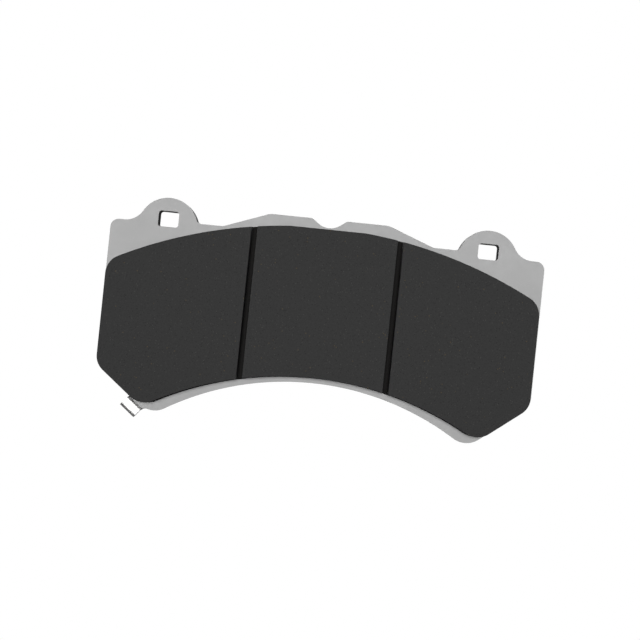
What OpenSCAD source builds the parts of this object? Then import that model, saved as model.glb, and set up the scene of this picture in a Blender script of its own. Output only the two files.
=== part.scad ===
// Front disc brake pad for a fixed calliper, with a wear indicator that
// rubs on the disc and squeals when the friction blocks are nearly used up.
//
// X runs along the pad, Z points away from the wheel's axle, and the
// friction blocks look towards -Y. The origin is the centre of the face
// that the calliper's pistons press on. The layers follow one another from
// there towards -Y: shim, backing plate, bond, underlayer, friction blocks.

/* [Backing plate] */
// Length of the plate between the two sides that slide in the calliper
plate_w = 158; // [154:0.5:164]
// Thickness of the steel plate
plate_t = 6; // [5:0.25:8]
// Height of the flat top edge above the origin
plate_top_z = 36.45; // [35:0.05:38]
// Height of the low stretch of top edge beside each ear
valley_z = 30.2; // [29:0.1:31.5]
// Slope of the ramp between the top edge and that low stretch
ramp_a = 20.5; // [15:0.5:30]
// Distance from the centre line to the top end of the ramp
ramp_x = 21.6; // [18:0.1:24]
// Height of the square shoulder outside each ear
shoulder_z = 29.05; // [27:0.05:30]
// Height of the plate's bottom edge on the centre line
arch_z = -23.05; // [-26:0.05:-20]
// Radius of the plate's hollow bottom edge
arch_r = 101.7; // [95:0.1:110]
// Distance from the centre line to the centre of each foot's round end
foot_x = 56.75; // [54:0.05:59]
// Radius of each foot's round end
foot_r = 8.05; // [6:0.05:9]
// Angle between the lower corner's cut and the pad's upright direction
chamfer_a = 51.9; // [48:0.1:56]

/* [Centre notch] */
// Depth of the notch in the middle of the top edge
notch_depth = 3.05; // [2:0.05:4]
// Radius of the notch's bottom
notch_r = 6.6; // [5:0.1:7]
// Slope of the notch's two sides
notch_a = 35.5; // [30:0.5:42]

/* [Pin ears] */
// Distance from the centre line to the middle of each ear
ear_x = 58.2; // [56:0.1:60]
// Height of the middle of each ear's round edge
ear_z = 27.55; // [26:0.05:29]
// Radius of each ear's round edge
ear_r = 10.9; // [10:0.1:12]
// Width of the hole that the calliper's pad pin goes through
hole_w = 7.4; // [5:0.1:8]
// Height of that hole
hole_h = 5.7; // [4.5:0.1:6.5]
// Height of the hole's middle above the origin
hole_z = 30.75; // [29:0.05:32]
// Radius of the hole's corners
hole_r = 1; // [0.4:0.1:2]

/* [Friction material] */
// Length of the friction material, end to end
friction_w = 154.2; // [148:0.1:155]
// Thickness of the friction blocks when new
friction_t = 8.5; // [2:0.5:12]
// Thickness of the underlayer that the blocks are moulded onto
underlayer_t = 1.85; // [1:0.05:3]
// How far the underlayer's edge stands out round the blocks
underlayer_lip = 0.55; // [0:0.05:0.6]
// Thickness of the bonding film between underlayer and plate
bond_t = 0.15; // [0.05:0.05:0.3]
// Height of the blocks' flat top edge
crown_z = 32.1; // [31:0.05:33]
// Radius of the blocks' curved top edge
crown_r = 162.8; // [150:0.1:180]
// How high that curve would reach on the centre line without the flat
crown_rise = 0.55; // [0.1:0.05:1]
// Height of the blocks' bottom edge on the centre line
friction_arch_z = -20.7; // [-22:0.05:-19]
// Radius of the blocks' hollow bottom edge
friction_arch_r = 118.8; // [110:0.1:125]
// Distance from the centre line to the centre of each foot's round tip
tip_x = 59.25; // [58:0.05:60]
// Radius of each foot's round tip
tip_r = 7.3; // [6.5:0.05:8.5]

/* [Slots] */
// Width of the two slots that part the blocks
slot_w = 2.1; // [1.5:0.1:4]
// Place of the middle of the left slot
slot_left_x = -26.1; // [-30:0.1:-22]
// Place of the middle of the right slot
slot_right_x = 25.9; // [22:0.1:30]

/* [Shim] */
// Thickness of the steel sheet inside the shim
shim_core_t = 0.5; // [0.3:0.05:0.8]
// Thickness of the rubber on each side of that sheet
shim_rubber_t = 0.15; // [0.05:0.05:0.3]
// Thickness of the adhesive that holds the shim on the plate
shim_glue_t = 0.1; // [0.05:0.05:0.2]
// How far the shim's edge lies inside the friction blocks' outline
shim_inset = 3; // [2:0.1:5]
// Radius of the two pegs on the plate that keep the shim in its place
peg_r = 2.5; // [1.5:0.1:4]
// Distance from the centre line to each peg
peg_x = 24; // [20:0.5:30]
// Height of the pegs' middle above the origin
peg_z = 4; // [-5:0.5:15]

/* [Wear indicator] */
// Width of the steel strip
strip_w = 6.7; // [5:0.1:8]
// Thickness of the steel strip
strip_t = 0.75; // [0.5:0.05:0.8]
// Inside radius of the strip's bends
strip_bend_r = 0.2; // [0.15:0.05:0.5]
// How far the plate's land for the strip stands out beyond the cut corner
land_proud = 0.5; // [0.3:0.05:1.5]
// Place of the strip along the cut corner, from the line through the origin
land_s = -27.2; // [-29:0.1:-26]
// Height of the strip's outward step above the front of the plate
strip_step = 2; // [1.6:0.1:2.2]
// Distance from the edge of the land to the strip's rubbing edge
strip_reach = 3.15; // [2.6:0.05:5]
// Height of the rubbing edge above the front of the plate
strip_tip = 3.2; // [2.8:0.1:5]
// Radius of the rivets' shanks
rivet_r = 1.5; // [1:0.1:1.8]
// Radius of the rivets' heads
rivet_head_r = 2.3; // [2:0.1:2.6]
// Depth of the rivets' blind holes in the plate
rivet_depth = 4.5; // [3:0.1:4.6]

/* [Hidden] */
$fn = 64;

// Greatest distance between a curved edge and its straight pieces
fineness = 0.01;
// Radii where the plate's edges meet
rim_r = 2;
crest_r = 6;
hollow_r = 4;
ear_inner_r = 2;
ear_outer_r = 7.45;
shoulder_r = 3.05;
plate_corner_r = 7;
// Radii of the friction blocks' upper and lower corners
block_upper_r = 7.15;
block_lower_r = 6.8;
// Distances of the two rivets from the edge of the land, inwards
rivet_outer_in = 5;
rivet_inner_in = 12;
// Gap between the strip and the edge of the land, and the land's edge break
strip_gap = 0.05;
land_break = 0.3;
// Length of the land that lies inside the plate, and of the ramp from it to the foot
land_root = 8;
land_ramp = 1.5;
// Heights of the two steps of a rivet's head
head_rim = 0.3;
head_dome = 0.4;
// Space round the pegs and round the wear strip in the shim
peg_play = 0.4;
strip_play = 1.2;
// How far the pegs stay below the shim's outer face
peg_low = 0.2;
// Overlap that keeps a cut from ending on a face
eps = 0.5;

// Distances of the layers' back faces from the origin, towards -Y
core_y = shim_rubber_t;
inner_rubber_y = core_y + shim_core_t;
glue_y = inner_rubber_y + shim_rubber_t;
plate_y = glue_y + shim_glue_t;
bond_y = plate_y + plate_t;
underlayer_y = bond_y + bond_t;
friction_y = underlayer_y + underlayer_t;

// Outward direction of the right-hand cut corner
cut_dir = [cos(chamfer_a), -sin(chamfer_a)];
// Distance from the origin to the plate's cut corner, and to the land's edge
plate_cut = foot_centre(foot_x, foot_r, arch_z, arch_r) * cut_dir + foot_r;
land_n = plate_cut + land_proud;

// Points along an arc, with a step that keeps within the fineness
function arc(c, r, from, to) =
    let (n = max(2, ceil(abs(to - from) / (2 * acos(1 - fineness / r)))))
    [for (i = [0:n]) let (a = from + (to - from) * i / n) c + r * [cos(a), sin(a)]];

// Centre of a round foot that runs smoothly into the hollow bottom edge
function foot_centre(x, r, bottom_z, bottom_r) =
    [x, bottom_z - bottom_r + sqrt(pow(bottom_r + r, 2) - x * x)];

// Right-hand lower half of an outline: side, cut corner, foot and arch
function lower_half(half_w, corner_r, foot_x, foot_r, bottom_z, bottom_r) =
    let (
        foot = foot_centre(foot_x, foot_r, bottom_z, bottom_r),
        corner_x = half_w - corner_r,
        cut = foot * cut_dir + foot_r,
        corner = [corner_x, (cut - corner_r - corner_x * cut_dir[0]) / cut_dir[1]],
        arch = [0, bottom_z - bottom_r],
        arch_a = atan2(foot[1] - arch[1], foot[0])
    )
    concat(
        arc(corner, corner_r, 0, -chamfer_a),
        arc(foot, foot_r, -chamfer_a, arch_a - 180),
        arc(arch, bottom_r, arch_a, 90)
    );

// Right-hand upper half of the plate: notch, ramp, ear and shoulder
function plate_upper_half() =
    let (
        notch = [0, plate_top_z - notch_depth + notch_r],
        // The rim's arc and the notch's arc share the notch's sloping side
        rim_x = ((notch_r + rim_r) - (notch[1] - plate_top_z + rim_r) * cos(notch_a))
            / sin(notch_a),
        crest = [ramp_x - crest_r * tan(ramp_a / 2), plate_top_z - crest_r],
        foot_of_ramp = ramp_x + (plate_top_z - valley_z) / tan(ramp_a),
        hollow = [foot_of_ramp + hollow_r * tan(ramp_a / 2), valley_z + hollow_r],
        ear = [ear_x, ear_z],
        inner_dz = valley_z + ear_inner_r - ear_z,
        inner_a = asin(inner_dz / (ear_r + ear_inner_r)),
        inner = ear + (ear_r + ear_inner_r) * [-cos(inner_a), sin(inner_a)],
        outer_dz = shoulder_z + ear_outer_r - ear_z,
        outer_a = asin(outer_dz / (ear_r + ear_outer_r)),
        outer = ear + (ear_r + ear_outer_r) * [cos(outer_a), sin(outer_a)],
        shoulder = [plate_w / 2 - shoulder_r, shoulder_z - shoulder_r]
    )
    concat(
        arc(notch, notch_r, 270, 270 + notch_a),
        arc([rim_x, plate_top_z - rim_r], rim_r, 90 + notch_a, 90),
        arc(crest, crest_r, 90, 90 - ramp_a),
        arc(hollow, hollow_r, 270 - ramp_a, 270),
        arc(inner, ear_inner_r, 270, 360 - inner_a),
        arc(ear, ear_r, 180 - inner_a, outer_a),
        arc(outer, ear_outer_r, 180 + outer_a, 270),
        arc(shoulder, shoulder_r, 90, 0)
    );

// Right-hand upper half of the friction outline, grown by a margin
function friction_upper_half(grow) =
    let (
        r = crown_r + grow,
        crown = [0, crown_z + crown_rise - crown_r],
        flat_a = asin((crown_z + grow - crown[1]) / r),
        corner_r = block_upper_r + grow,
        corner_x = friction_w / 2 + grow - corner_r,
        corner = [corner_x, crown[1] + sqrt(pow(r - corner_r, 2) - corner_x * corner_x)],
        corner_a = atan2(corner[1] - crown[1], corner[0])
    )
    concat(arc(crown, r, flat_a, corner_a), arc(corner, corner_r, corner_a, 0));

// Whole outline from its right-hand half, which runs from top to bottom
function both_halves(half) =
    concat(half, [for (i = [len(half) - 1:-1:0]) if (half[i][0] > 0) [-half[i][0], half[i][1]]]);

// Outline of the friction material, grown by a margin
module friction_outline(grow = 0) {
    lower = lower_half(
        friction_w / 2 + grow, block_lower_r + grow, tip_x, tip_r + grow,
        friction_arch_z - grow, friction_arch_r - grow
    );
    polygon(both_halves(concat(friction_upper_half(grow), lower)));
}

// Places a shape on the left-hand cut corner: X out of it, Y along it
module on_land() {
    rotate(180 + chamfer_a) translate([0, land_s]) children();
}

// A layer of the pad that starts behind the disc by the given distance
module layer(back, thick) {
    translate([0, -back, 0]) rotate([90, 0, 0]) linear_extrude(thick) children();
}

// The same place in space: X out of the cut corner, Z along it
module at_land() {
    rotate([0, 180 - chamfer_a, 0]) translate([0, 0, land_s]) children();
}

// Puts a shape on the axis of a rivet, with Z pointing to the disc
module at_rivet(inwards) {
    at_land() translate([land_n - inwards, -plate_y, 0]) rotate([90, 0, 0]) children();
}

module ear_hole() {
    straight_w = hole_w / 2 - hole_r;
    straight_h = hole_h / 2 - hole_r;
    square([hole_w, 2 * straight_h], center = true);
    square([2 * straight_w, hole_h], center = true);
    for (x = [-straight_w, straight_w], y = [-straight_h, straight_h])
        translate([x, y]) circle(hole_r);
}

module plate_outline() {
    lower = lower_half(plate_w / 2, plate_corner_r, foot_x, foot_r, arch_z, arch_r);
    difference() {
        union() {
            polygon(both_halves(concat(plate_upper_half(), lower)));
            on_land() translate([land_n, strip_w / 2]) polygon([
                [0, -strip_w], [0, 0], [-land_ramp, land_ramp], [-land_root, 0], [-land_root, -strip_w]
            ]);
        }
        for (side = [-1, 1]) translate([side * ear_x, hole_z]) ear_hole();
    }
}

// Steel plate, with the pegs for the shim and blind holes for the rivets
module backing_plate() {
    color([0.66, 0.66, 0.66]) difference() {
        union() {
            layer(plate_y, plate_t) plate_outline();
            for (side = [-1, 1])
                layer(peg_low, plate_y - peg_low) translate([side * peg_x, peg_z]) circle(peg_r);
        }
        for (inwards = [rivet_outer_in, rivet_inner_in])
            at_rivet(inwards) translate([0, 0, -eps]) cylinder(h = rivet_depth + eps, r = rivet_r);
        // Broken edge of the land, where the strip bends round it
        at_land() translate([land_n, -plate_y, -strip_w]) linear_extrude(2 * strip_w)
            polygon([[-land_break, 0], [eps, land_break + eps], [eps, -land_break - eps]]);
    }
}

module bonding_film() {
    color([0.45, 0.36, 0.22]) layer(bond_y, bond_t) friction_outline(underlayer_lip);
}

module underlayer() {
    color([0.12, 0.12, 0.12]) layer(underlayer_y, underlayer_t) friction_outline(underlayer_lip);
}

// The part of the friction material that lies between two places along X
module friction_block(from, to) {
    color([0.22, 0.22, 0.22]) layer(friction_y, friction_t) intersection() {
        friction_outline();
        translate([from, -plate_w / 2]) square([to - from, plate_w]);
    }
}

module friction_block_left() {
    friction_block(-plate_w / 2, slot_left_x - slot_w / 2);
}

module friction_block_centre() {
    friction_block(slot_left_x + slot_w / 2, slot_right_x - slot_w / 2);
}

module friction_block_right() {
    friction_block(slot_right_x + slot_w / 2, plate_w / 2);
}

// One layer of the shim, open round the pegs and round the wear strip
module shim_layer(back, thick) {
    leg = rivet_inner_in + strip_w / 2 + strip_play;
    layer(back, thick) difference() {
        friction_outline(-shim_inset);
        for (side = [-1, 1]) translate([side * peg_x, peg_z]) circle(peg_r + peg_play);
        on_land() translate([land_n - leg, -strip_w / 2 - strip_play])
            square([leg + eps, strip_w + 2 * strip_play]);
    }
}

module shim_adhesive() {
    color([0.75, 0.68, 0.45]) shim_layer(glue_y, shim_glue_t);
}

module shim_inner_rubber() {
    color([0.16, 0.16, 0.17]) shim_layer(inner_rubber_y, shim_rubber_t);
}

module shim_steel_core() {
    color([0.6, 0.61, 0.63]) shim_layer(core_y, shim_core_t);
}

module shim_outer_rubber() {
    color([0.16, 0.16, 0.17]) shim_layer(0, shim_rubber_t);
}

// A quarter turn of the strip, which fills the direction of the given angle
module strip_bend(c, turn) {
    outer_r = strip_bend_r + strip_t;
    translate(c) rotate(turn) intersection() {
        difference() {
            circle(outer_r);
            circle(strip_bend_r);
        }
        square(outer_r);
    }
}

// Side view of the strip: X out of the cut corner, Y as in the pad
module strip_profile() {
    wall_x = land_n + strip_gap;
    leg_x = land_n - rivet_inner_in - strip_w / 2;
    back_y = -plate_y;
    step_y = -bond_y - strip_step;
    edge_x = land_n + strip_reach;
    tip_y = -bond_y - strip_tip;
    turn_y = step_y + strip_t + strip_bend_r;

    translate([leg_x, back_y]) square([wall_x - strip_bend_r - leg_x, strip_t]);
    strip_bend([wall_x - strip_bend_r, back_y - strip_bend_r], 0);
    translate([wall_x, turn_y]) square([strip_t, back_y - strip_bend_r - turn_y]);
    strip_bend([wall_x + strip_t + strip_bend_r, turn_y], 180);
    translate([wall_x + strip_t + strip_bend_r, step_y])
        square([edge_x - wall_x - strip_t - 2 * strip_bend_r, strip_t]);
    strip_bend([edge_x - strip_bend_r, step_y - strip_bend_r], 0);
    translate([edge_x, tip_y]) square([strip_t, step_y - strip_bend_r - tip_y]);
}

// Sprung steel strip that bends round the plate and points at the disc
module wear_strip() {
    leg_x = land_n - rivet_inner_in;
    color([0.9, 0.9, 0.9]) difference() {
        intersection() {
            at_land() translate([0, 0, -strip_w / 2]) linear_extrude(strip_w) strip_profile();
            // Seen from behind, the riveted end of the strip is round
            layer(-eps, friction_y + friction_t + 2 * eps) on_land() {
                translate([leg_x, 0]) circle(strip_w / 2);
                translate([leg_x, -strip_w / 2]) square([land_n + 2 * strip_reach - leg_x, strip_w]);
            }
        }
        for (inwards = [rivet_outer_in, rivet_inner_in])
            at_rivet(inwards) translate([0, 0, -strip_t - eps]) cylinder(h = strip_t + 2 * eps, r = rivet_r);
    }
}

// Rivet with its shank in the plate and a low domed head on the strip
module wear_rivet(inwards) {
    dome_r = (rivet_head_r * rivet_head_r + head_dome * head_dome) / (2 * head_dome);
    color([0.8, 0.8, 0.8]) at_rivet(inwards) {
        translate([0, 0, -strip_t]) cylinder(h = strip_t + rivet_depth, r = rivet_r);
        translate([0, 0, -strip_t - head_rim]) cylinder(h = head_rim, r = rivet_head_r);
        intersection() {
            translate([0, 0, dome_r - strip_t - head_rim - head_dome]) sphere(dome_r);
            translate([0, 0, -strip_t - head_rim - head_dome]) cylinder(h = head_dome, r = rivet_head_r);
        }
    }
}

module wear_rivet_outer() {
    wear_rivet(rivet_outer_in);
}

module wear_rivet_inner() {
    wear_rivet(rivet_inner_in);
}

backing_plate();
bonding_film();
underlayer();
friction_block_left();
friction_block_centre();
friction_block_right();
shim_adhesive();
shim_inner_rubber();
shim_steel_core();
shim_outer_rubber();
wear_strip();
wear_rivet_outer();
wear_rivet_inner();
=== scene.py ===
import math

import bmesh
import bpy
from mathutils import Matrix, Vector


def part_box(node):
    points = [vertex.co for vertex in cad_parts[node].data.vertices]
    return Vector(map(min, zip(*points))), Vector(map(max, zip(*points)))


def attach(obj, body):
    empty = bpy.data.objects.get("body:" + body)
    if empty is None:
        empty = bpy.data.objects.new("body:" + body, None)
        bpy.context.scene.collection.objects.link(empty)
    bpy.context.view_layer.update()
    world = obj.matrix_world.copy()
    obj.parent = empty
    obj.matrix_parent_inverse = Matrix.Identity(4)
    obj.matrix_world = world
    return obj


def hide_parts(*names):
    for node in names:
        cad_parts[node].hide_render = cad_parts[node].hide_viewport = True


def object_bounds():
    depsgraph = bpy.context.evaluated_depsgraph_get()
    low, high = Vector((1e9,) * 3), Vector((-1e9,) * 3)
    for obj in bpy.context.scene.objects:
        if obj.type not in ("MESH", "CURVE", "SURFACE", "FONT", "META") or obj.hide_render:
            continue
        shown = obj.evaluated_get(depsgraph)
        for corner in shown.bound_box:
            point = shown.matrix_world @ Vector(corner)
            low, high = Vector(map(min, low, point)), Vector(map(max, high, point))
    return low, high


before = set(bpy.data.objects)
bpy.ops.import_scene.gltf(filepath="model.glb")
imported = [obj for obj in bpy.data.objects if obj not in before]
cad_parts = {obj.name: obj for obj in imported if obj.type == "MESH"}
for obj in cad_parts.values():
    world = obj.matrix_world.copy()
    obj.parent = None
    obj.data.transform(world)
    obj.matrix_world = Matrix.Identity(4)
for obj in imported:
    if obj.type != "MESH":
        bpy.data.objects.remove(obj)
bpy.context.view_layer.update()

MM = 0.001
BODY = "root"


# ------------------------------------------------------------ node building

EVEN = (1.0, 1.0, 1.0)      # for a pattern that isn't stretched along any axis


def new_material(name, roughness, metallic=0.0, specular=0.5):
    """A material and its shader, with the values that are the same all over set on the shader."""
    material = bpy.data.materials.new(name)
    material.use_nodes = True
    shader = material.node_tree.nodes["Principled BSDF"]
    shader.inputs["Roughness"].default_value = roughness
    shader.inputs["Metallic"].default_value = metallic
    shader.inputs["Specular IOR Level"].default_value = specular
    return material, shader


def fill(tree, socket, value):
    """Gives an input a value, or joins it to another node's output."""
    if isinstance(value, bpy.types.NodeSocket):
        tree.links.new(value, socket)
    else:
        socket.default_value = value


def add(tree, kind, inputs=None, **settings):
    """A new node with its settings and its inputs."""
    node = tree.nodes.new(kind)
    for key, value in settings.items():
        setattr(node, key, value)
    for key, value in (inputs or {}).items():
        fill(tree, node.inputs[key], value)
    return node


def compute(tree, operation, *values):
    """A number worked out from one or two others."""
    return add(tree, "ShaderNodeMath", dict(enumerate(values)), operation=operation).outputs[0]


def place(tree, stretch=EVEN):
    """Where a point lies in the part's frame, in metres, stretched along the axes."""
    where = add(tree, "ShaderNodeTexCoord").outputs["Object"]
    scaled = add(tree, "ShaderNodeVectorMath", {0: where, 1: stretch}, operation="MULTIPLY")
    return scaled.outputs[0]


def noise(tree, size, detail=2.0, rough=0.5, stretch=EVEN):
    """Noise whose lumps are about size metres across."""
    made = add(tree, "ShaderNodeTexNoise", {"Vector": place(tree, stretch), "Scale": 1 / size,
                                            "Detail": detail, "Roughness": rough})
    return made.outputs["Fac"]


def spread(tree, value, low, high, start=0.3, end=0.7):
    """A value from start to end, laid out from low to high."""
    made = add(tree, "ShaderNodeMapRange", {"Value": value, "From Min": start, "From Max": end,
                                            "To Min": low, "To Max": high})
    return made.outputs[0]


def patches(tree, size, detail=2.0, rough=0.5, stretch=EVEN):
    """Noise with its contrast raised, so that it runs the whole way from 0 to 1."""
    return spread(tree, noise(tree, size, detail, rough, stretch), 0.0, 1.0)


def flecks(tree, size, share, stretch=EVEN):
    """A mask of separate grains, size metres apart, of which the given share is 1."""
    cells = add(tree, "ShaderNodeTexVoronoi",
                {"Vector": place(tree, stretch), "Scale": 1 / size, "Randomness": 1.0})
    grain = spread(tree, cells.outputs["Distance"], 1.0, 0.0, start=0.25, end=0.4)
    colour = add(tree, "ShaderNodeSeparateColor", {"Color": cells.outputs["Color"]})
    chosen = compute(tree, "LESS_THAN", colour.outputs["Red"], share)
    return compute(tree, "MULTIPLY", grain, chosen)


def mixed(tree, factor, first, second):
    """Two colours or colour outputs mixed by a factor."""
    factor_in, first_in, second_in, colour_out = 0, 6, 7, 2     # the mix node's colour sockets
    made = add(tree, "ShaderNodeMix", data_type="RGBA")
    for key, value in ((factor_in, factor), (first_in, first), (second_in, second)):
        fill(tree, made.inputs[key], value)
    return made.outputs[colour_out]


def grey(value, warm=0.0):
    """A grey of that linear brightness, a little warmer or cooler."""
    return (value * (1 + warm), value, value * (1 - warm), 1)


def relief(tree, shader, *layers):
    """Bumps on the shader: pairs of a height from 0 to 1 and its real depth in metres."""
    below = None
    for height, depth in layers:
        inputs = {"Height": height, "Distance": depth, "Strength": 1.0}
        if below is not None:
            inputs["Normal"] = below
        below = add(tree, "ShaderNodeBump", inputs).outputs[0]
    tree.links.new(below, shader.inputs["Normal"])


def paint(tree, shader, colour, roughness=None):
    """Joins a colour, and a roughness if that varies too, to the shader."""
    tree.links.new(colour, shader.inputs["Base Color"])
    if roughness is not None:
        tree.links.new(roughness, shader.inputs["Roughness"])


def facing(tree, axis, start, end):
    """1 where the surface looks along an axis, either way, and 0 where it looks across it."""
    normal = add(tree, "ShaderNodeNewGeometry").outputs["Normal"]
    along = add(tree, "ShaderNodeVectorMath", {0: normal, 1: axis}, operation="DOT_PRODUCT")
    size = compute(tree, "ABSOLUTE", along.outputs["Value"])
    return spread(tree, size, 0.0, 1.0, start, end)


# ---------------------------------------------------------------- materials

def friction_material():
    """Ground friction compound: a dark matrix with fibres and metal grains, and grinding lines."""
    material, shader = new_material("friction_compound", 0.85, specular=0.25)
    tree = material.node_tree
    matrix = mixed(tree, patches(tree, 0.3 * MM, 3.0, 0.7), grey(0.027), grey(0.033))
    matrix = mixed(tree, patches(tree, 6 * MM, 4.0, 0.6), matrix, grey(0.030))
    dark_grains = flecks(tree, 0.5 * MM, 0.14)
    pale_fibres = flecks(tree, 0.4 * MM, 0.08, (1.0, 1.0, 0.6))
    brass_grains = flecks(tree, 0.7 * MM, 0.02)
    matrix = mixed(tree, dark_grains, matrix, grey(0.018))
    matrix = mixed(tree, pale_fibres, matrix, grey(0.048, 0.03))
    matrix = mixed(tree, brass_grains, matrix, (0.060, 0.047, 0.030, 1))
    paint(tree, shader, matrix, spread(tree, noise(tree, 0.5 * MM), 0.75, 0.95))
    grinding_lines = noise(tree, 0.25 * MM, 2.0, 0.6, (0.03, 1.0, 1.0))
    pores = noise(tree, 0.3 * MM, 3.0, 0.7)
    relief(tree, shader, (grinding_lines, 0.006 * MM), (pores, 0.02 * MM))
    return material


def underlayer_material():
    """Moulded underlayer: the same kind of compound as the blocks, but darker."""
    material, shader = new_material("underlayer_compound", 0.85, specular=0.12)
    tree = material.node_tree
    dark, light = (0.0066, 0.0063, 0.0060, 1), (0.0110, 0.0105, 0.0100, 1)
    paint(tree, shader, mixed(tree, patches(tree, 0.5 * MM, 3.0, 0.7), dark, light))
    relief(tree, shader, (noise(tree, 0.6 * MM, 3.0, 0.6), 0.03 * MM))
    return material


def torn_zone(tree):
    """1 on the back part of the plate's thickness, from a ragged border about a third of the way in."""
    low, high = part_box("backing_plate")
    border = low.y + 0.36 * (high.y - low.y)
    wander = 0.7 * MM
    blur = 0.1 * MM
    depth = add(tree, "ShaderNodeSeparateXYZ", {"Vector": place(tree)}).outputs["Y"]
    ragged = spread(tree, noise(tree, 2.5 * MM, 4.0, 0.6, (1.0, 0.0, 1.0)), -wander, wander)
    shifted = compute(tree, "ADD", depth, ragged)
    return spread(tree, shifted, 0.0, 1.0, border - blur, border + blur)


def coat_colour(tree):
    """The plate's grey coat, a little cloudy, with lighter and darker flecks."""
    coat = mixed(tree, patches(tree, 14 * MM, 4.0, 0.55), grey(0.385), grey(0.42))
    fleck_tone = mixed(tree, patches(tree, 0.3 * MM, 2.0, 0.6), grey(0.36), grey(0.455))
    return mixed(tree, flecks(tree, 0.6 * MM, 0.12), coat, fleck_tone)


def plate_material():
    """Grey coated steel: fine orange peel on the faces. The stamped edge is smooth near the front,
    where the punch sheared it, and torn and darker behind that. The whole edge is painted far
    darker than the coat, as painted shade on the plate's walls."""
    material, shader = new_material("plate_coat", 0.5, specular=0.35)
    tree = material.node_tree
    face = facing(tree, (0, 1, 0), 0.45, 0.75)
    torn = torn_zone(tree)
    streak = patches(tree, 0.35 * MM, 3.0, 0.6, (1.0, 0.05, 1.0))
    tear = patches(tree, 0.5 * MM, 4.0, 0.7, (1.0, 0.4, 1.0))
    # painted shade: the edge greys are far darker than the coat to stand in for the shade on the walls;
    # the streaks and tears in them are the edge's own texture
    sheared_and_shaded_colour = mixed(tree, streak, grey(0.09), grey(0.14))
    torn_and_shaded_colour = mixed(tree, tear, grey(0.05), grey(0.10))
    shaded_edge_colour = mixed(tree, torn, sheared_and_shaded_colour, torn_and_shaded_colour)
    edge_roughness = 0.9
    face_roughness = spread(tree, noise(tree, 1.5 * MM, 3.0), 0.54, 0.70)
    paint(tree, shader, mixed(tree, face, shaded_edge_colour, coat_colour(tree)),
          spread(tree, face, edge_roughness, face_roughness, 0.0, 1.0))
    across = compute(tree, "SUBTRACT", 1.0, face)
    dents = compute(tree, "MULTIPLY", compute(tree, "MULTIPLY", tear, torn), across)
    orange_peel = noise(tree, 0.7 * MM, 2.0, 0.5)
    relief(tree, shader, (orange_peel, 0.008 * MM), (streak, 0.004 * MM), (dents, 0.06 * MM))
    return material


def rolled_steel(name, tone, roughness, along):
    """Sheet steel with fine lines along the way it was rolled."""
    material, shader = new_material(name, roughness, metallic=1.0)
    tree = material.node_tree
    lines = noise(tree, 0.12 * MM, 3.0, 0.6, along)
    streaked = mixed(tree, spread(tree, lines, 0.0, 1.0), grey(tone * 0.93), grey(tone))
    cloudy = mixed(tree, patches(tree, 2.5 * MM, 3.0), streaked, grey(tone * 0.97, 0.01))
    paint(tree, shader, cloudy, spread(tree, lines, roughness - 0.05, roughness + 0.08))
    relief(tree, shader, (lines, 0.003 * MM))
    return material


def sheared_steel_and_shade():
    """Dull dark steel, finely torn, where the strip was cut from its sheet. Its near-black tone is
    partly painted shade on the strip's walls.
    """
    material, shader = new_material("strip_cut_edge_and_shade", 0.6, metallic=0.2)
    tree = material.node_tree
    tears = patches(tree, 0.15 * MM, 3.0, 0.6)
    paint(tree, shader, mixed(tree, tears, grey(0.06), grey(0.10)),
          spread(tree, noise(tree, 0.2 * MM, 2.0), 0.5, 0.7))
    relief(tree, shader, (tears, 0.004 * MM))
    return material


def rivet_material():
    """Zinc-plated rivet steel with small dents from the setting tool."""
    material, shader = new_material("rivet_zinc", 0.35, metallic=1.0)
    tree = material.node_tree
    zinc = mixed(tree, patches(tree, 0.9 * MM, 3.0), grey(0.55, 0.02), grey(0.72, -0.01))
    paint(tree, shader, zinc, spread(tree, noise(tree, 0.4 * MM, 3.0), 0.25, 0.5))
    relief(tree, shader, (noise(tree, 0.5 * MM, 2.0), 0.02 * MM))
    return material


def rubber_material():
    """Thin rubber coat on the shim: an even pebble grain with a faint sheen."""
    material, shader = new_material("shim_rubber_coat", 0.62, specular=0.4)
    tree = material.node_tree
    dark, light, middle = grey(0.030, -0.03), grey(0.040, -0.03), grey(0.034, -0.02)
    coat = mixed(tree, patches(tree, 9 * MM, 4.0, 0.6), dark, light)
    coat = mixed(tree, patches(tree, 0.25 * MM, 2.0, 0.6), coat, middle)
    paint(tree, shader, coat, spread(tree, noise(tree, 3 * MM, 3.0), 0.52, 0.7))
    relief(tree, shader, (noise(tree, 0.3 * MM, 1.0, 0.5), 0.012 * MM))
    return material


def film_material(name, dark, light, roughness):
    """A thin cured film that shows only as a line along its edge."""
    material, shader = new_material(name, roughness)
    tree = material.node_tree
    paint(tree, shader, mixed(tree, patches(tree, 0.6 * MM, 3.0, 0.6), dark, light))
    relief(tree, shader, (noise(tree, 0.3 * MM, 2.0), 0.01 * MM))
    return material


def give(piece, material):
    """Makes a material the only one of a piece."""
    piece.data.materials.clear()
    piece.data.materials.append(material)


# ------------------------------------------------------------- piece making

SHARP = math.radians(35)            # edges sharper than this are corners
FLAT = math.radians(0.3)            # faces that meet flatter than this become one face
SAME_POINT = 0.001 * MM             # points closer than this become one point
CUT_CORNER = math.radians(51.9)     # how far the pad's cut corner turns from upright
ALONG_CUT = Vector((math.sin(CUT_CORNER), 0, -math.cos(CUT_CORNER)))


def clean_mesh(node):
    """A CAD node's shape with its flat faces whole and its doubled points joined."""
    shape = bmesh.new()
    shape.from_mesh(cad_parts[node].data)
    bmesh.ops.remove_doubles(shape, verts=shape.verts, dist=SAME_POINT)
    bmesh.ops.dissolve_limit(shape, angle_limit=FLAT, verts=shape.verts, edges=shape.edges)
    bmesh.ops.recalc_face_normals(shape, faces=shape.faces)
    return shape


def is_corner(edge):
    """Whether two faces meet sharply at an edge."""
    return len(edge.link_faces) == 2 and edge.calc_face_angle() > SHARP


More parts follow.
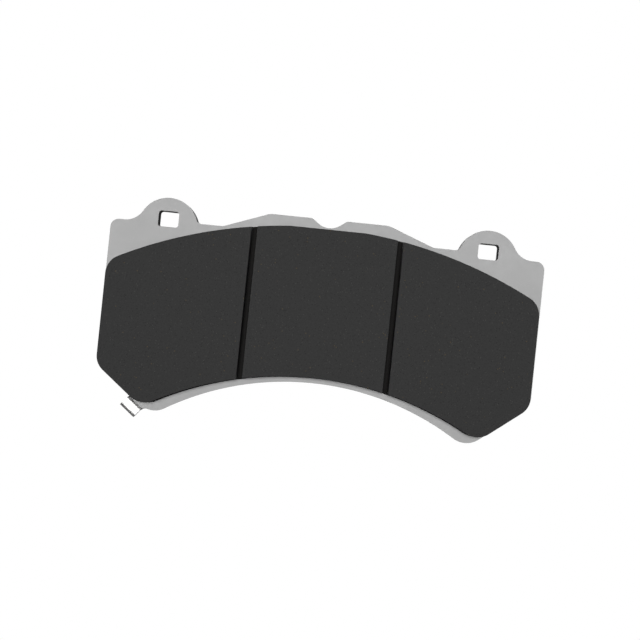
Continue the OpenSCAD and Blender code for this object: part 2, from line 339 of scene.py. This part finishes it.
def marked_mesh(name, node, share, change):
    """A CAD node's mesh. Each corner carries its share of the rounding, and one with none of it
    stays sharp to the eye."""
    shape = clean_mesh(node)
    if change is not None:
        change(shape)
    weight = shape.edges.layers.float.new("bevel_weight_edge")
    for edge in filter(is_corner, shape.edges):
        edge[weight] = share(edge)
        edge.smooth = edge[weight] > 0
    for face in shape.faces:
        face.smooth = True
    mesh = bpy.data.meshes.new(name)
    shape.to_mesh(mesh)
    shape.free()
    return mesh


def round_corners(piece, radius, segments):
    """Rounds a piece's marked corners, and shades its flat faces flat."""
    bevel = piece.modifiers.new("rounded corners", "BEVEL")
    bevel.width = radius
    bevel.segments = segments
    bevel.limit_method = "WEIGHT"
    bevel.miter_outer = "MITER_ARC"
    bevel.use_clamp_overlap = False
    normals = piece.modifiers.new("even shading", "WEIGHTED_NORMAL")
    normals.mode = "FACE_AREA"
    normals.weight = 90
    normals.keep_sharp = True


def rounded_piece(name, node, material, radius, share, segments=3, change=None):
    """A piece in a CAD node's place with its corners rounded. share(edge) says how much of the
    radius an edge gets, and change(shape) alters the shape before that."""
    piece = bpy.data.objects.new(name, marked_mesh(name, node, share, change))
    bpy.context.scene.collection.objects.link(piece)
    round_corners(piece, radius, segments)
    give(piece, material)
    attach(piece, BODY)
    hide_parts(node)
    return piece


def faces_part(node, front, back, side=0.4):
    """How much rounding the edges get at a node's disc side, at its piston side and between."""
    low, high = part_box(node)
    tolerance = 0.02 * MM

    def share(edge):
        middle_y = (edge.verts[0].co.y + edge.verts[1].co.y) / 2
        if middle_y < low.y + tolerance:
            return front
        return back if middle_y > high.y - tolerance else side
    return share


def all_round(edge):
    """The whole radius, whatever the edge."""
    return 1.0


def burred_side(edge):
    """The strip's lower long side was cut last and is rounded most. The rest is nearly sharp."""
    lower = any(face.normal.dot(ALONG_CUT) > 0.9 for face in edge.link_faces)
    return 1.0 if lower else 0.2


def gets_draft(face):
    """Whether a block's face is a wall that leans. The walls square to X don't, and the saw cuts
    are among those."""
    upright = abs(face.normal.y) < 0.1
    square_to_x = abs(face.normal.x) >= 0.9999
    return upright and not square_to_x


def drafted(node, spread_out):
    """Makes a block wider at its base by spread_out metres, as it leaves its mould."""
    base_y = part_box(node)[1].y - 0.01 * MM

    def change(shape):
        for vert in shape.verts:
            walls = [face.normal for face in vert.link_faces if gets_draft(face)]
            if walls and vert.co.y >= base_y:
                vert.co += spread_out * sum(walls, Vector()).normalized()
    return change


def darken_cut_edges_with_shade(strip, material):
    """Gives the strip's cut sides, its corners and its rubbing end the look of sheared steel. The
    near-black of that look is partly painted shade on these walls.
    """
    # painted shade: the cut sides, the rounded corners and the rubbing end get the near-black cut look,
    # partly the dull cut finish and partly painted shade on the strip's walls
    cut_and_shade_look = 1
    strip.data.materials.append(material)
    strip.modifiers["rounded corners"].material = cut_and_shade_look
    tip_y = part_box("wear_strip")[0].y + 0.01 * MM
    for face in strip.data.polygons:
        at_tip = face.center.y < tip_y and face.normal.y < -0.9
        if at_tip or abs(face.normal.dot(ALONG_CUT)) > 0.2:
            face.material_index = cut_and_shade_look


# ------------------------------------------------------------------- pieces

def build_friction_blocks():
    """Three ground blocks with a crisp front edge and a slight draft."""
    material = friction_material()
    for side in ("left", "centre", "right"):
        node = "friction_block_" + side
        rounded_piece(node + "_ground", node, material, radius=0.12 * MM,
                      share=faces_part(node, front=1.0, back=0.0), change=drafted(node, 0.2 * MM))


def build_underlayer():
    """The underlayer's ledge shows round the blocks, so only its front edge is rounded."""
    rounded_piece("underlayer_moulded", "underlayer", underlayer_material(),
                  radius=0.2 * MM, share=faces_part("underlayer", front=0.5, back=0.0, side=0.0),
                  segments=2)


def build_backing_plate():
    """The punch left the plate's front edge crisper than its back edge."""
    rounded_piece("backing_plate_stamped", "backing_plate", plate_material(),
                  radius=0.2 * MM, share=faces_part("backing_plate", front=0.4, back=1.0, side=0.5))


def build_wear_strip():
    """The strip is bright where it was rolled and dark where it was cut. That dark is partly painted
    shade.
    """
    steel = rolled_steel("strip_steel", tone=0.88, roughness=0.56, along=(0.05, 1.0, 1.0))
    strip = rounded_piece("wear_strip_pressed", "wear_strip", steel,
                          radius=0.2 * MM, share=burred_side, segments=2)
    darken_cut_edges_with_shade(strip, sheared_steel_and_shade())


def build_shim():
    """The outer rubber's edge is rounded. The layers under it show only as lines."""
    rubber = rubber_material()
    steel = rolled_steel("shim_steel", tone=0.3, roughness=0.55, along=(1.0, 0.05, 1.0))
    glue = film_material("shim_glue", (0.35, 0.30, 0.16, 1), (0.45, 0.38, 0.22, 1), 0.5)
    give(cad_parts["shim_steel_core"], steel)
    give(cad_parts["shim_inner_rubber"], rubber)
    rounded_piece("shim_outer_coat", "shim_outer_rubber", rubber,
                  radius=0.06 * MM, segments=2,
                  share=faces_part("shim_outer_rubber", front=0.0, back=1.0, side=0.0))
    give(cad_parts["shim_adhesive"], glue)


def build_bonding_film():
    """The resin between the plate and the underlayer."""
    resin = film_material("bond_resin", (0.05, 0.03, 0.015, 1), (0.12, 0.07, 0.035, 1), 0.45)
    give(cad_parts["bonding_film"], resin)


def build_rivets():
    """The two rivets that hold the wear strip."""
    material = rivet_material()
    for which in ("outer", "inner"):
        node = "wear_rivet_" + which
        rounded_piece(node + "_set", node, material, 0.1 * MM, all_round)


# -------------------------------------------------------------------- stage

CAMERA_GAP = 430 * MM       # from the camera to the front of the backing plate
CAMERA_AIM_X = 0.2 * MM     # how far to the right of the plate's middle the camera looks
CAMERA_ROLL = 5.93          # degrees
CAMERA_SIDE = 0.65          # degrees towards +X
CAMERA_NEAR = 10 * MM       # nothing nearer to the camera is drawn
LENS = 66.8                 # millimetres
SENSOR = 36                 # millimetres
AMBIENT = 0.12              # strength of the light from all round
FLOOR_SHADE = 0.12          # share of the light on the floor that goes back up to the pad
FLOOR_HALF = 6.0            # metres from the floor's middle to its edges
FLOOR_GAP = 0.2 * MM        # from the floor to the pad's lowest point


def add_camera():
    """The camera faces the friction blocks, a little to the right and rolled."""
    target = Vector((CAMERA_AIM_X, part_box("backing_plate")[0].y, 0))
    side = math.radians(CAMERA_SIDE)
    back = Vector((math.sin(side), -math.cos(side), 0))
    data = bpy.data.cameras.new("camera")
    data.lens = LENS
    data.sensor_width = SENSOR
    data.clip_start = CAMERA_NEAR
    camera = bpy.data.objects.new("camera", data)
    camera.rotation_mode = "QUATERNION"
    roll = Matrix.Rotation(math.radians(CAMERA_ROLL), 4, "Z").to_quaternion()
    camera.rotation_quaternion = (-back).to_track_quat("-Z", "Y") @ roll
    camera.location = target + CAMERA_GAP * back
    bpy.context.scene.collection.objects.link(camera)
    bpy.context.scene.camera = camera


def add_softbox(name, position, width, power):
    """A square light, width metres wide, that faces the frame's origin. Its power is in watts."""
    data = bpy.data.lights.new(name, "AREA")
    data.shape = "SQUARE"
    data.size = width
    data.energy = power
    light = bpy.data.objects.new(name, data)
    light.location = position
    light.rotation_mode = "QUATERNION"
    to_origin = Vector() - Vector(position)
    light.rotation_quaternion = to_origin.to_track_quat("-Z", "Y")
    bpy.context.scene.collection.objects.link(light)


def seen_and_lit(tree, seen, lit):
    """One shader for what the camera sees itself, another for the light that reaches the pad."""
    by_eye = add(tree, "ShaderNodeLightPath").outputs["Is Camera Ray"]
    chosen = add(tree, "ShaderNodeMixShader", {0: by_eye, 1: lit.outputs[0], 2: seen.outputs[0]})
    return chosen.outputs[0]


def floor_mesh():
    """One large square just under the pad."""
    half = FLOOR_HALF
    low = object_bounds()[0].z - FLOOR_GAP
    corners = [(-half, -half, low), (half, -half, low), (half, half, low), (-half, half, low)]
    mesh = bpy.data.meshes.new("floor")
    mesh.from_pydata(corners, [], [(0, 1, 2, 3)])
    return mesh


def add_floor():
    """A pale floor, bright enough to run into the background."""
    floor = bpy.data.objects.new("floor", floor_mesh())
    bpy.context.scene.collection.objects.link(floor)
    material = bpy.data.materials.new("floor_paint")
    material.use_nodes = True
    tree = material.node_tree
    tree.nodes.clear()
    seen = add(tree, "ShaderNodeEmission", {"Color": grey(1.0), "Strength": 1.0})
    lit = add(tree, "ShaderNodeBsdfDiffuse", {"Color": grey(FLOOR_SHADE)})
    add(tree, "ShaderNodeOutputMaterial", {"Surface": seen_and_lit(tree, seen, lit)})
    give(floor, material)


def add_world():
    """White behind everything, and a dim light from all round."""
    scene = bpy.context.scene
    scene.world = bpy.data.worlds.new("studio")
    scene.world.use_nodes = True
    tree = scene.world.node_tree
    tree.nodes.clear()
    seen = add(tree, "ShaderNodeBackground", {"Color": grey(1.0), "Strength": 1.0})
    lit = add(tree, "ShaderNodeBackground", {"Color": grey(1.0), "Strength": AMBIENT})
    add(tree, "ShaderNodeOutputWorld", {"Surface": seen_and_lit(tree, seen, lit)})
    scene.view_settings.view_transform = "Standard"


def build_stage():
    """The camera, the white surroundings and four softboxes."""
    add_camera()
    add_world()
    add_floor()
    add_softbox("front_softbox", (0, -1.5, 0.03), width=0.35, power=27.4)
    add_softbox("back_softbox", (-0.15, 0.72, 1.1), width=0.5, power=20)
    for name, side in (("left_softbox", -1), ("right_softbox", 1)):
        add_softbox(name, (side * 1.3, 0.16, 0.1), width=0.22, power=12)


build_friction_blocks()
build_underlayer()
build_backing_plate()
build_wear_strip()
build_shim()
build_bonding_film()
build_rivets()
build_stage()
